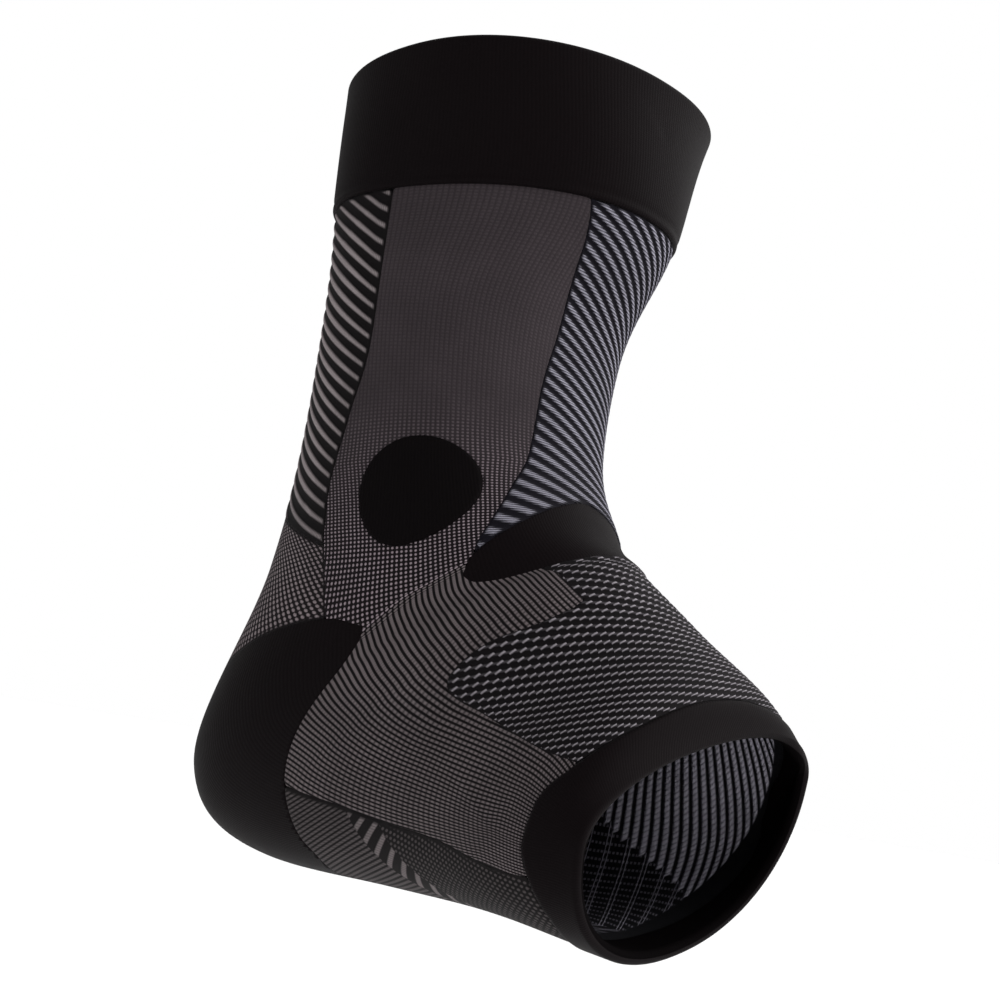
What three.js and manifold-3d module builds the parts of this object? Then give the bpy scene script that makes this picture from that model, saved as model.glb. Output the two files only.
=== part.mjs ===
// Ankle sleeve: a knitted tube over the lower leg, heel and midfoot, open at both ends.
// Millimetres, +Z up the leg, +X towards the toes, origin between the ankle bones.
import * as THREE from "three";
import { mergeVertices } from "three/addons/utils/BufferGeometryUtils.js";
import Module from "manifold-3d";

const wasm = await Module();
wasm.setup();

// Driving dimensions
const LEG_HEIGHT = 128; // ankle bones to the front of the top rim
const LEG_DEPTH = 95; // front to back at the top rim
const LEG_WIDTH = 96; // side to side at the top rim
const ANKLE_HEIGHT = 83; // sole to the ankle bones
const FOOT_LENGTH = 158; // back of the heel to the toe cuff
const FOOT_WIDTH = 92; // side to side at the toe cuff
const TOP_CUFF_HEIGHT = 35; // rim to the lower hem, at the front
const TOE_CUFF_WIDTH = 15.5; // rim to the hem, at the side of the foot
const KNIT_THICKNESS = 1.8; // the single knit of the panels
const CUFF_THICKNESS = 2.6; // the doubled knit of the two cuffs
const HEEL_THICKNESS = 2.2; // the denser knit of the heel cup
const PAD_THICKNESS = 2.8; // the pads over the ankle bones
const CUFF_RAISE = 0.5; // how far the cuffs stand out from the panels
const PAD_RAISE = 0.5; // how far the pads stand out from the side panels
const PANEL_GAP = 0.45; // slit between neighbouring panels, on the straight layout
const CREASE_GAP = 0.9; // the same where bending draws the layout together, at the ankle front and toes
const SQUARENESS = 2.15; // exponent of the section outline, 2 is an ellipse

// Fineness of the faceted surface
const STEPS_ALONG = 36;
const STEPS_AROUND = 34;
const STEPS_PER_EDGE_POINT = 3;
const PAD_CORNERS = 28;

// Sections of the leg, from the top rim down to the ankle.
// along: place on the sleeve's run, 0 at the top rim and 1 at the toe rim.
// frontX, backX: shares of LEG_DEPTH. frontZ, backZ: shares of LEG_HEIGHT.
// half: half width as a share of LEG_WIDTH. widest: place of the widest point from back to front.
// twist: turn of the section in its own plane, in degrees. shift: sideways, as a share of the width.
const COLUMNS = ["along", "frontX", "frontZ", "backX", "backZ", "half", "widest", "twist", "shift"];
const LEG_SECTIONS = [
  [0.0, 0.55, 1.0, -0.45, 0.965, 0.5, 0.52, 4, 0],
  [0.12, 0.525, 0.735, -0.435, 0.705, 0.425, 0.4, -2, 0],
  [0.25, 0.395, 0.485, -0.425, 0.485, 0.398, 0.47, 0, 0],
  [0.34, 0.41, 0.265, -0.463, 0.203, 0.36, 0.5, 0, 0],
];

// Sections of the foot, fanning round the front of the ankle to the toe rim, with the same columns.
// frontX, backX: shares of FOOT_LENGTH. frontZ, backZ: shares of ANKLE_HEIGHT.
// half, shift: shares of FOOT_WIDTH.
const FOOT_SECTIONS = [
  [0.45, 0.302, 0.182, -0.3, -0.1, 0.4, 0.51, -1, 0],
  [0.6, 0.367, 0.078, -0.404, -0.77, 0.393, 0.5, -3, 0],
  [0.72, 0.403, 0.03, -0.23, -0.97, 0.4, 0.48, 0, 0],
  [0.79, 0.494, -0.095, 0.04, -0.975, 0.41, 0.48, -1, 0],
  [0.87, 0.595, -0.23, 0.33, -0.975, 0.477, 0.41, 6, 0],
  [1.0, 0.612, -0.415, 0.545, -1.0, 0.447, 0.68, 18, -0.04],
];

// Panel edges as [along, around] points: around is 0 at the front centre line and 1 at the back one.
// Values below 0 or above 1 run past a rim or a centre line. The same edge cuts both sides of the
// sleeve, but for the front leg panel, which reaches further round on the inner side.
const FRONT_EDGE_LATERAL = [[-0.1, 0.15], [0.13, 0.15], [0.18, 0.119], [0.245, 0.09], [0.3, 0.115],
  [0.362, 0.144], [0.413, 0.197], [0.495, 0.267], [0.54, 0.286]];
const FRONT_EDGE_MEDIAL = [[-0.1, 0.25], [0.13, 0.25], [0.18, 0.25], [0.245, 0.245], [0.3, 0.235],
  [0.362, 0.22], [0.413, 0.217], [0.495, 0.267], [0.54, 0.286]];
const REAR_EDGE = [[-0.1, 0.48], [0.13, 0.48], [0.268, 0.483], [0.33, 0.536], [0.385, 0.565],
  [0.445, 0.556], [0.512, 0.517], [0.57, 0.49]];
const REAR_STRIPE_END = [[0.46, 0.55], [0.41, 0.728], [0.39, 0.88], [0.385, 1.1]];
const BAND_UPPER = [[0.415, -0.1], [0.417, 0.02], [0.44, 0.117], [0.47, 0.189], [0.503, 0.25],
  [0.535, 0.29]];
const BAND_LOWER = [[0.568, 0.303], [0.597, 0.285], [0.617, 0.225], [0.603, 0.15], [0.585, 0.05],
  [0.58, -0.1]];
const HEEL_TOP = [[0.525, 1.1], [0.528, 0.8], [0.53, 0.62], [0.55, 0.497], [0.588, 0.436]];
const HEEL_FRONT = [[0.612, 0.442], [0.657, 0.478], [0.693, 0.553], [0.73, 0.664], [0.753, 0.767],
  [0.766, 0.86], [0.772, 1.1]];
const SOLE_EDGE = [[0.7, 0.645], [0.758, 0.661], [0.8, 0.665], [0.855, 0.611], [0.927, 0.583],
  [0.99, 0.57]];
const ARCH_SEAM = [[0.603, 0.444], [0.585, 0.408], [0.57, 0.375], [0.562, 0.344], [0.545, 0.295]];
const ARCH_TIP = [[0.59, 0.21], [0.61, 0.2], [0.695, 0.169], [0.748, 0.172]];
const ARCH_FRONT = [[0.753, 0.2], [0.753, 0.258], [0.746, 0.32], [0.75, 0.378], [0.762, 0.41],
  [0.785, 0.416], [0.82, 0.398], [0.897, 0.328], [0.97, 0.28]];
const ARCH_UNDERLAP = [[0.99, 0.6], [0.85, 0.72], [0.74, 0.7], [0.65, 0.6]]; // in the panels cut before it
const INSTEP_EDGE = [[0.5, -0.1], [0.575, 0.2], [0.63, 0.24], [0.7, 0.46], [1, 0.46], [1, -0.1]];

// Where the outlines close, past the rims and the centre lines
const PAST_TOP_RIM = -0.1;
const PAST_TOE_RIM = 1.1;
const PAST_FRONT = -0.1;
const PAST_BACK = 1.1;

// Hem of the toe cuff: share of TOE_CUFF_WIDTH at each place around the foot.
const TOE_HEM = [[-0.1, 0.93], [0.05, 0.93], [0.19, 0.88], [0.33, 1.01], [0.4, 1.1], [0.47, 1.01],
  [0.52, 0.93], [0.58, 0.76], [0.65, 0.57], [0.75, 0.43], [1.1, 0.46]];

// The pad over each ankle bone: a tilted oval on the straight layout.
const PAD_CENTRE = [0.418, 0.37];
const PAD_LENGTH = 0.235; // share of the way around from front to back
const PAD_HEIGHT = 0.137; // share of the run along the sleeve
const PAD_TILT = -12; // degrees

// A table row in millimetres and radians
function section(values, length, height, width) {
  const row = Object.fromEntries(COLUMNS.map((column, i) => [column, values[i]]));
  return {
    along: row.along,
    frontX: row.frontX * length,
    frontZ: row.frontZ * height,
    backX: row.backX * length,
    backZ: row.backZ * height,
    half: row.half * width,
    widest: row.widest,
    twist: THREE.MathUtils.degToRad(row.twist),
    shift: row.shift * width,
  };
}

const sections = [
  ...LEG_SECTIONS.map((values) => section(values, LEG_DEPTH, LEG_HEIGHT, LEG_WIDTH)),
  ...FOOT_SECTIONS.map((values) => section(values, FOOT_LENGTH, ANKLE_HEIGHT, FOOT_WIDTH)),
];

// Slope of one column at a row, weighted by the distances to its neighbours
function slope(index, key) {
  const step = (i) => (sections[i + 1][key] - sections[i][key]) / (sections[i + 1].along - sections[i].along);
  if (index === 0) return step(0);
  if (index === sections.length - 1) return step(index - 1);
  const before = sections[index].along - sections[index - 1].along;
  const after = sections[index + 1].along - sections[index].along;
  return (after * step(index - 1) + before * step(index)) / (before + after);
}

// One column of the section table anywhere along the sleeve, as a smooth cubic
function columnAt(along, key) {
  let index = sections.length - 2;
  while (index > 0 && along < sections[index].along) index -= 1;
  const from = sections[index];
  const to = sections[index + 1];
  const span = to.along - from.along;
  const t = (along - from.along) / span;
  const t2 = t * t;
  const t3 = t2 * t;
  return (2 * t3 - 3 * t2 + 1) * from[key]
    + (t3 - 2 * t2 + t) * span * slope(index, key)
    + (3 * t2 - 2 * t3) * to[key]
    + (t3 - t2) * span * slope(index + 1, key);
}

// Point of the sleeve's outer surface: turn is the angle from the front centre line, in radians
function surfacePoint(along, turn) {
  const front = new THREE.Vector2(columnAt(along, "frontX"), columnAt(along, "frontZ"));
  const back = new THREE.Vector2(columnAt(along, "backX"), columnAt(along, "backZ"));
  const axis = front.clone().sub(back);
  const depth = axis.length();
  axis.normalize();
  const widest = columnAt(along, "widest");
  const centre = back.clone().addScaledVector(axis, depth * widest);
  const cos = Math.cos(turn);
  const sin = Math.sin(turn);
  const size = (Math.abs(cos) ** SQUARENESS + Math.abs(sin) ** SQUARENESS) ** (-1 / SQUARENESS);
  const reach = cos * size * depth * (cos > 0 ? 1 - widest : widest);
  const side = sin * size * columnAt(along, "half");
  const twist = columnAt(along, "twist");
  const ahead = reach * Math.cos(twist) + side * Math.sin(twist);
  const across = side * Math.cos(twist) - reach * Math.sin(twist) + columnAt(along, "shift");
  return new THREE.Vector3(centre.x + ahead * axis.x, across, centre.y + ahead * axis.y);
}

// Point below the outer surface, or above it where depth is negative
function wallPoint(along, turn, depth) {
  const step = 0.002;
  const alongSlope = surfacePoint(along + step, turn).sub(surfacePoint(along - step, turn));
  const turnSlope = surfacePoint(along, turn + step).sub(surfacePoint(along, turn - step));
  const outward = alongSlope.cross(turnSlope).normalize();
  return surfacePoint(along, turn).addScaledVector(outward, -depth);
}

// The straight layout: the sleeve as a slightly barrelled tube along X, front up
const LAYOUT_RUN = 330;
const LAYOUT_RADIUS = 40;
const LAYOUT_WALL = 0.3;
const LAYOUT_BULGE = 6;
const CUTTER_REACH = 3 * LAYOUT_RADIUS;

function layoutRadius(along) {
  return LAYOUT_RADIUS + LAYOUT_BULGE * Math.sin(Math.PI * THREE.MathUtils.clamp(along, 0, 1));
}

// Side view of the layout, where around is 0 on the front centre line and 1 on the back one
function layoutPoint(along, around) {
  const inside = THREE.MathUtils.clamp(around, 0, 1);
  const beyond = (inside - around) * 2 * LAYOUT_RADIUS;
  return new THREE.Vector2(along * LAYOUT_RUN, layoutRadius(along) * Math.cos(Math.PI * inside) + beyond);
}

function toSolid(geometry) {
  const plain = geometry.clone();
  plain.deleteAttribute("normal");
  plain.deleteAttribute("uv");
  const merged = mergeVertices(plain, 1e-4);
  return new wasm.Manifold(new wasm.Mesh({
    numProp: 3,
    vertProperties: Float32Array.from(merged.attributes.position.array),
    triVerts: Uint32Array.from(merged.index.array),
  }));
}

function straightTube() {
  const positions = [];
  const indices = [];
  const rings = STEPS_ALONG + 1;
  for (const drop of [0, LAYOUT_WALL]) {
    for (let i = 0; i < rings; i += 1) {
      const along = i / STEPS_ALONG;
      const radius = layoutRadius(along) - drop;
      for (let j = 0; j < STEPS_AROUND; j += 1) {
        const turn = (2 * Math.PI * j) / STEPS_AROUND;
        positions.push(along * LAYOUT_RUN, radius * Math.sin(turn), radius * Math.cos(turn));
      }
    }
  }
  const vertex = (layer, i, j) => (layer * rings + i) * STEPS_AROUND + (j % STEPS_AROUND);
  const quad = (a, b, c, d) => indices.push(a, b, c, a, c, d);
  for (let j = 0; j < STEPS_AROUND; j += 1) {
    for (let i = 0; i < STEPS_ALONG; i += 1) {
      quad(vertex(0, i, j), vertex(0, i + 1, j), vertex(0, i + 1, j + 1), vertex(0, i, j + 1));
      quad(vertex(1, i, j), vertex(1, i, j + 1), vertex(1, i + 1, j + 1), vertex(1, i + 1, j));
    }
    quad(vertex(0, 0, j), vertex(0, 0, j + 1), vertex(1, 0, j + 1), vertex(1, 0, j));
    quad(vertex(0, STEPS_ALONG, j), vertex(1, STEPS_ALONG, j),
      vertex(1, STEPS_ALONG, j + 1), vertex(0, STEPS_ALONG, j + 1));
  }
  const tube = new THREE.BufferGeometry();
  tube.setAttribute("position", new THREE.Float32BufferAttribute(positions, 3));
  tube.setIndex(indices);
  return toSolid(tube);
}

// A smooth edge through its points, on the layout
function smoothEdge(points) {
  const curve = new THREE.SplineCurve(points.map(([along, around]) => new THREE.Vector2(along, around)));
  return curve.getPoints((points.length - 1) * STEPS_PER_EDGE_POINT).map((p) => layoutPoint(p.x, p.y));
}

function straightEdge(points) {
  return points.map(([along, around]) => layoutPoint(along, around));
}

// An outline from a smooth edge, closed straight past a centre line
function closedPast(points, around) {
  const start = points[0][0];
  const end = points[points.length - 1][0];
  return [...smoothEdge(points), ...straightEdge([[end, around], [start, around]])];
}

// An outline moved outwards by a distance, corner by corner
function grow(outline, distance) {
  const leastShare = 0.5; // limits how far a sharp corner moves
  const turnsLeft = THREE.ShapeUtils.area(outline) > 0 ? 1 : -1;
  return outline.map((point, i) => {
    const before = outline[(i + outline.length - 1) % outline.length];
    const after = outline[(i + 1) % outline.length];
    const into = point.clone().sub(before).normalize();
    const out = after.clone().sub(point).normalize();
    const corner = new THREE.Vector2(into.y + out.y, -into.x - out.x).normalize();
    const share = Math.max(leastShare, corner.dot(new THREE.Vector2(into.y, -into.x)));
    return point.clone().addScaledVector(corner, (turnsLeft * distance) / share);
  });
}

// A cutter right across the layout, from a side-view outline
function cutter(outline) {
  const shape = new THREE.Shape(outline);
  const block = new THREE.ExtrudeGeometry(shape, { depth: 2 * CUTTER_REACH, bevelEnabled: false });
  block.rotateX(Math.PI / 2);
  block.translate(0, CUTTER_REACH, 0);
  return toSolid(block);
}

// Half of the layout: side is -1 for the outer side of the foot and 1 for the inner side
function halfBlock(side) {
  const block = new THREE.BoxGeometry(2 * LAYOUT_RUN, CUTTER_REACH, 2 * CUTTER_REACH);
  block.translate(LAYOUT_RUN / 2, (side * CUTTER_REACH) / 2, 0);
  return toSolid(block);
}

// Bends a cut of the layout onto the sleeve, with its own outer raise and inner depth
function bend(cut, raise, thickness) {
  const mesh = cut.getMesh();
  const chordDip = LAYOUT_RADIUS * (1 - Math.cos(Math.PI / STEPS_AROUND));
  const wallMiddle = (LAYOUT_WALL + chordDip) / 2;
  const positions = [];
  for (let i = 0; i < mesh.vertProperties.length; i += mesh.numProp) {
    const [x, y, z] = mesh.vertProperties.slice(i, i + 3);
    const along = THREE.MathUtils.clamp(x / LAYOUT_RUN, 0, 1);
    const outer = Math.hypot(y, z) > layoutRadius(along) - wallMiddle;
    const point = wallPoint(along, Math.atan2(y, z), outer ? -raise : thickness - raise);
    positions.push(point.x, point.y, point.z);
  }
  const geometry = new THREE.BufferGeometry();
  geometry.setAttribute("position", new THREE.Float32BufferAttribute(positions, 3));
  geometry.setIndex(Array.from(mesh.triVerts));
  geometry.computeVertexNormals();
  return geometry;
}

// Place along the sleeve where the front centre line is at a height
function alongAtHeight(height) {
  const halvings = 30;
  let above = 0;
  let below = LEG_SECTIONS[LEG_SECTIONS.length - 1][0];
  for (let i = 0; i < halvings; i += 1) {
    const middle = (above + below) / 2;
    if (columnAt(middle, "frontZ") > height) above = middle;
    else below = middle;
  }
  return above;
}

// Outlines of the panels, as closed loops on the layout
function topCuffOutline() {
  const hem = alongAtHeight(LEG_HEIGHT - TOP_CUFF_HEIGHT);
  return straightEdge([[PAST_TOP_RIM, PAST_FRONT], [hem, PAST_FRONT], [hem, PAST_BACK],
    [PAST_TOP_RIM, PAST_BACK]]);
}

function toeCuffOutline() {
  const side = Math.PI / 2;
  const end = 0.1;
  const alongPerMillimetre = end / surfacePoint(1, side).distanceTo(surfacePoint(1 - end, side));
  const hem = TOE_HEM.map(([around, share]) => [1 - share * TOE_CUFF_WIDTH * alongPerMillimetre, around]);
  return [...smoothEdge(hem), ...straightEdge([[PAST_TOE_RIM, PAST_BACK], [PAST_TOE_RIM, PAST_FRONT]])];
}

function padOutline() {
  const tilt = THREE.MathUtils.degToRad(PAD_TILT);
  const centre = layoutPoint(PAD_CENTRE[0], PAD_CENTRE[1]);
  const halfHeight = (PAD_HEIGHT * LAYOUT_RUN) / 2;
  const halfLength = (PAD_LENGTH * Math.PI * LAYOUT_RADIUS) / 2;
  const outline = [];
  for (let i = 0; i < PAD_CORNERS; i += 1) {
    const turn = (2 * Math.PI * i) / PAD_CORNERS;
    const along = halfHeight * Math.cos(turn);
    const around = halfLength * Math.sin(turn);
    outline.push(new THREE.Vector2(
      centre.x + along * Math.cos(tilt) - around * Math.sin(tilt),
      centre.y + along * Math.sin(tilt) + around * Math.cos(tilt),
    ));
  }
  return outline;
}

function bandOutline() {
  return [...smoothEdge(BAND_UPPER), ...smoothEdge(BAND_LOWER)];
}

function heelCupOutline() {
  return [...smoothEdge(HEEL_TOP), ...smoothEdge(HEEL_FRONT)];
}

function achillesOutline() {
  const upper = REAR_EDGE.filter(([along]) => along < REAR_STRIPE_END[0][0]);
  return [...smoothEdge(upper), ...smoothEdge(REAR_STRIPE_END),
    ...straightEdge([[PAST_TOP_RIM, PAST_BACK]])];
}

function archOutline() {
  return [...smoothEdge(ARCH_SEAM), ...straightEdge(ARCH_TIP), ...smoothEdge(ARCH_FRONT),
    ...straightEdge(ARCH_UNDERLAP)];
}

// Materials
function knit(color, roughness) {
  return new THREE.MeshStandardMaterial({ color, roughness, metalness: 0 });
}

const blackKnit = knit(0x1d1b1f, 0.9);
const meshKnit = knit(0x5d5762, 0.95);
const ribKnit = knit(0x55505c, 0.95);
const dashKnit = knit(0x45414c, 0.95);
const padKnit = knit(0x1a191b, 0.85);

// Cuts the panels out of the layout one after another, each leaving a slit to the next
const sleeve = new THREE.Group();
sleeve.name = "ankle_sleeve";
let remaining = straightTube();

function carve(outline, gap = PANEL_GAP) {
  const cut = remaining.intersect(cutter(outline));
  remaining = remaining.subtract(cutter(grow(outline, gap)));
  return cut;
}

// The same, with an outline of its own for each side of the sleeve
function carveSides(lateralOutline, medialOutline) {
  const bothSides = (gap) => {
    const lateral = cutter(grow(lateralOutline, gap)).intersect(halfBlock(-1));
    return lateral.add(cutter(grow(medialOutline, gap)).intersect(halfBlock(1)));
  };
  const cut = remaining.intersect(bothSides(0));
  remaining = remaining.subtract(bothSides(PANEL_GAP));
  return cut;
}

function addPanel(name, cut, material, raise, thickness) {
  const panel = new THREE.Mesh(bend(cut, raise, thickness), material);
  panel.name = name;
  sleeve.add(panel);
}

function addPair(name, cut, material, raise, thickness) {
  addPanel(`${name}_lateral`, cut.intersect(halfBlock(-1)), material, raise, thickness);
  addPanel(`${name}_medial`, cut.intersect(halfBlock(1)), material, raise, thickness);
}

addPanel("top_cuff", carve(topCuffOutline()), blackKnit, CUFF_RAISE, CUFF_THICKNESS);
addPanel("toe_cuff", carve(toeCuffOutline(), CREASE_GAP), blackKnit, CUFF_RAISE, CUFF_THICKNESS);
addPair("ankle_pad", carve(padOutline()), padKnit, PAD_RAISE, PAD_THICKNESS);
addPanel("ankle_band", carve(bandOutline(), CREASE_GAP), blackKnit, 0, KNIT_THICKNESS);
addPanel("heel_cup", carve(heelCupOutline()), blackKnit, 0, HEEL_THICKNESS);
addPanel("sole_panel", carve(closedPast(SOLE_EDGE, PAST_BACK)), dashKnit, 0, KNIT_THICKNESS);
addPanel("front_leg_panel", carveSides(closedPast(FRONT_EDGE_LATERAL, PAST_FRONT),
  closedPast(FRONT_EDGE_MEDIAL, PAST_FRONT)), ribKnit, 0, KNIT_THICKNESS);
addPanel("achilles_panel", carve(achillesOutline()), ribKnit, 0, KNIT_THICKNESS);
addPanel("heel_back_panel", carve(closedPast(REAR_EDGE, PAST_BACK)), meshKnit, 0, KNIT_THICKNESS);
addPair("arch_panel", carve(archOutline()), ribKnit, 0, KNIT_THICKNESS);
addPanel("instep_panel", carve(straightEdge(INSTEP_EDGE)), dashKnit, 0, KNIT_THICKNESS);
addPair("side_panel", remaining, meshKnit, 0, KNIT_THICKNESS);

export default sleeve;
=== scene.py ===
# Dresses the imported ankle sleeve: every knitted zone gets its own surface, relief and yarns.
# Metres in Blender, millimetres in the tables. +Z up the leg, +X towards the toes.
import math
import bmesh
import bpy
import numpy as np
from mathutils import Matrix, Vector


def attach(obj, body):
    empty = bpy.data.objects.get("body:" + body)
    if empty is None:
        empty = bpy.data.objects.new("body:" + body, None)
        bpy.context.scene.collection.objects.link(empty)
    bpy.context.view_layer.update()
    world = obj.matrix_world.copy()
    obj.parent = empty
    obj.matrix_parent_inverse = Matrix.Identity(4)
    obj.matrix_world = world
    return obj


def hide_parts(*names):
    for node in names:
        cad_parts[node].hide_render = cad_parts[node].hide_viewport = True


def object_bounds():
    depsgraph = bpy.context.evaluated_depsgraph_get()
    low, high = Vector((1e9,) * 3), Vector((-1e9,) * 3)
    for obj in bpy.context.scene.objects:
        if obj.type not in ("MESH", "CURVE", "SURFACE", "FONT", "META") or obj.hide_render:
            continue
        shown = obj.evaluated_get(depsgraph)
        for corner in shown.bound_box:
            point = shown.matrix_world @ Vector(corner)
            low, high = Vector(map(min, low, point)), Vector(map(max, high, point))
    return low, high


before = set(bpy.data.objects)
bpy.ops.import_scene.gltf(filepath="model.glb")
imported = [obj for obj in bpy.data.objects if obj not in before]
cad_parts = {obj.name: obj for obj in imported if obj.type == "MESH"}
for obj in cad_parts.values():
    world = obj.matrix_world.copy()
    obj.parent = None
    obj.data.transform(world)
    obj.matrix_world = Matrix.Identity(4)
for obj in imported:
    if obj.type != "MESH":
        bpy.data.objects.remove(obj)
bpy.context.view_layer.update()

# The sleeve's form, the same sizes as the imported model
LEG_HEIGHT = 128
LEG_DEPTH = 95
LEG_WIDTH = 96
ANKLE_HEIGHT = 83
FOOT_LENGTH = 158
FOOT_WIDTH = 92
TOP_CUFF_HEIGHT = 35
TOE_CUFF_WIDTH = 15.5
KNIT_THICKNESS = 1.8
CUFF_THICKNESS = 2.6
HEEL_THICKNESS = 2.2
PAD_THICKNESS = 2.8
SQUARENESS = 2.15

# Sections from the top rim to the toe rim. along is 0 at the top rim and 1 at the toe rim.
# frontX, backX: shares of the depth or foot length. frontZ, backZ: shares of the height.
# half, shift: shares of the width. widest: from back to front. twist: degrees.
COLUMNS = ["along", "frontX", "frontZ", "backX", "backZ", "half", "widest", "twist", "shift"]
LEG_SECTIONS = [
    [0.0, 0.55, 1.0, -0.45, 0.965, 0.5, 0.52, 4, 0],
    [0.12, 0.525, 0.735, -0.435, 0.705, 0.425, 0.4, -2, 0],
    [0.25, 0.395, 0.485, -0.425, 0.485, 0.398, 0.47, 0, 0],
    [0.34, 0.41, 0.265, -0.463, 0.203, 0.36, 0.5, 0, 0],
]
FOOT_SECTIONS = [
    [0.45, 0.302, 0.182, -0.3, -0.1, 0.4, 0.51, -1, 0],
    [0.6, 0.367, 0.078, -0.404, -0.77, 0.393, 0.5, -3, 0],
    [0.72, 0.403, 0.03, -0.23, -0.97, 0.4, 0.48, 0, 0],
    [0.79, 0.494, -0.095, 0.04, -0.975, 0.41, 0.48, -1, 0],
    [0.87, 0.595, -0.23, 0.33, -0.975, 0.477, 0.41, 6, 0],
    [1.0, 0.612, -0.415, 0.545, -1.0, 0.447, 0.68, 18, -0.04],
]

# Zone edges as [along, around]: around is 0 at the front centre line and 1 at the back one.
# The pads and the front edge below the top cuff lie up to 2.5 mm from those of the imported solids,
# closer to the photograph.
FRONT_EDGE_LATERAL = [[-0.1, 0.28], [0.13, 0.15], [0.18, 0.121], [0.245, 0.09], [0.3, 0.115],
                      [0.362, 0.144], [0.413, 0.197], [0.495, 0.267], [0.54, 0.286]]
FRONT_EDGE_MEDIAL = [[-0.1, 0.25], [0.13, 0.25], [0.18, 0.25], [0.245, 0.245], [0.3, 0.235],
                     [0.362, 0.22], [0.413, 0.217], [0.495, 0.267], [0.54, 0.286]]
REAR_EDGE = [[-0.1, 0.48], [0.13, 0.48], [0.268, 0.483], [0.33, 0.536], [0.385, 0.565],
             [0.445, 0.556], [0.512, 0.517], [0.57, 0.49]]
REAR_STRIPE_END = [[0.46, 0.55], [0.41, 0.728], [0.39, 0.88], [0.385, 1.1]]
BAND_UPPER = [[0.415, -0.1], [0.417, 0.02], [0.44, 0.117], [0.47, 0.189], [0.503, 0.25],
              [0.535, 0.29]]
BAND_LOWER = [[0.568, 0.303], [0.597, 0.285], [0.617, 0.225], [0.603, 0.15], [0.585, 0.05],
              [0.58, -0.1]]
HEEL_TOP = [[0.525, 1.1], [0.528, 0.8], [0.53, 0.62], [0.55, 0.497], [0.588, 0.436]]
HEEL_FRONT = [[0.612, 0.442], [0.657, 0.478], [0.693, 0.553], [0.73, 0.664], [0.753, 0.767],
              [0.766, 0.86], [0.772, 1.1]]
SOLE_EDGE = [[0.7, 0.645], [0.758, 0.661], [0.8, 0.665], [0.855, 0.611], [0.927, 0.583],
             [0.99, 0.57]]
ARCH_SEAM = [[0.603, 0.444], [0.585, 0.408], [0.57, 0.375], [0.562, 0.344], [0.545, 0.295]]
ARCH_TIP = [[0.59, 0.21], [0.61, 0.2], [0.695, 0.169], [0.748, 0.172]]
ARCH_FRONT = [[0.753, 0.2], [0.753, 0.258], [0.746, 0.32], [0.75, 0.378], [0.762, 0.41],
              [0.785, 0.416], [0.82, 0.398], [0.897, 0.328], [0.97, 0.28]]
TOE_HEM = [[-0.1, 0.93], [0.05, 0.93], [0.19, 0.88], [0.33, 1.01], [0.4, 1.1], [0.47, 1.01],
           [0.52, 0.93], [0.58, 0.76], [0.65, 0.57], [0.75, 0.43], [1.1, 0.46]]
PAD_CENTRE = [0.418, 0.37]
PAD_LENGTH = 0.235
PAD_HEIGHT = 0.137
PAD_TILT = -5
PAD_TAPER = 0.24
PAD_CORNERS = 60
TOE_SPAN = 0.1  # the share along over which the toe end's length is measured

# The flat layout on which zones are drawn: millimetres for a whole run and a half girth
LAYOUT_RUN = 330
HALF_GIRTH = 126

MM = 0.001
FAR_AWAY = 1e9
SLOPE_STEP = 0.002  # steps along and around over which slopes of the surface are measured
FIELD_STEP = 0.003  # the same for the zone fields
LEAST_SLOPE = 0.05  # a field flatter than this isn't used to scale distances


# The sleeve's surface

def section_rows():
    """The sections in millimetres, with the columns in the order of the tables."""
    rows = []
    for values, length, height, width in (
            [(v, LEG_DEPTH, LEG_HEIGHT, LEG_WIDTH) for v in LEG_SECTIONS]
            + [(v, FOOT_LENGTH, ANKLE_HEIGHT, FOOT_WIDTH) for v in FOOT_SECTIONS]):
        row = dict(zip(COLUMNS, values))
        rows.append([row["along"], row["frontX"] * length, row["frontZ"] * height,
                     row["backX"] * length, row["backZ"] * height, row["half"] * width,
                     row["widest"], math.radians(row["twist"]), row["shift"] * width])
    return np.array(rows)


SECTIONS = section_rows()


def section_slopes():
    """How fast each column changes at each section, from the sections on either side."""
    at = SECTIONS[:, :1]
    chords = (SECTIONS[1:] - SECTIONS[:-1]) / (at[1:] - at[:-1])
    gaps = at[1:] - at[:-1]
    slopes = np.vstack([chords[:1], chords[:1].repeat(len(SECTIONS) - 2, 0), chords[-1:]])
    slopes[1:-1] = (gaps[1:] * chords[:-1] + gaps[:-1] * chords[1:]) / (gaps[:-1] + gaps[1:])
    return slopes


SLOPES = section_slopes()


def columns_at(along):
    """All section columns at each place along the sleeve, as a smooth cubic."""
    index = np.clip(np.searchsorted(SECTIONS[:, 0], along, side="right") - 1, 0, len(SECTIONS) - 2)
    span = (SECTIONS[index + 1, 0] - SECTIONS[index, 0])[:, None]
    t = (along[:, None] - SECTIONS[index, :1]) / span
    return ((2 * t ** 3 - 3 * t ** 2 + 1) * SECTIONS[index]
            + (t ** 3 - 2 * t ** 2 + t) * span * SLOPES[index]
            + (3 * t ** 2 - 2 * t ** 3) * SECTIONS[index + 1]
            + (t ** 3 - t ** 2) * span * SLOPES[index + 1])


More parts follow.
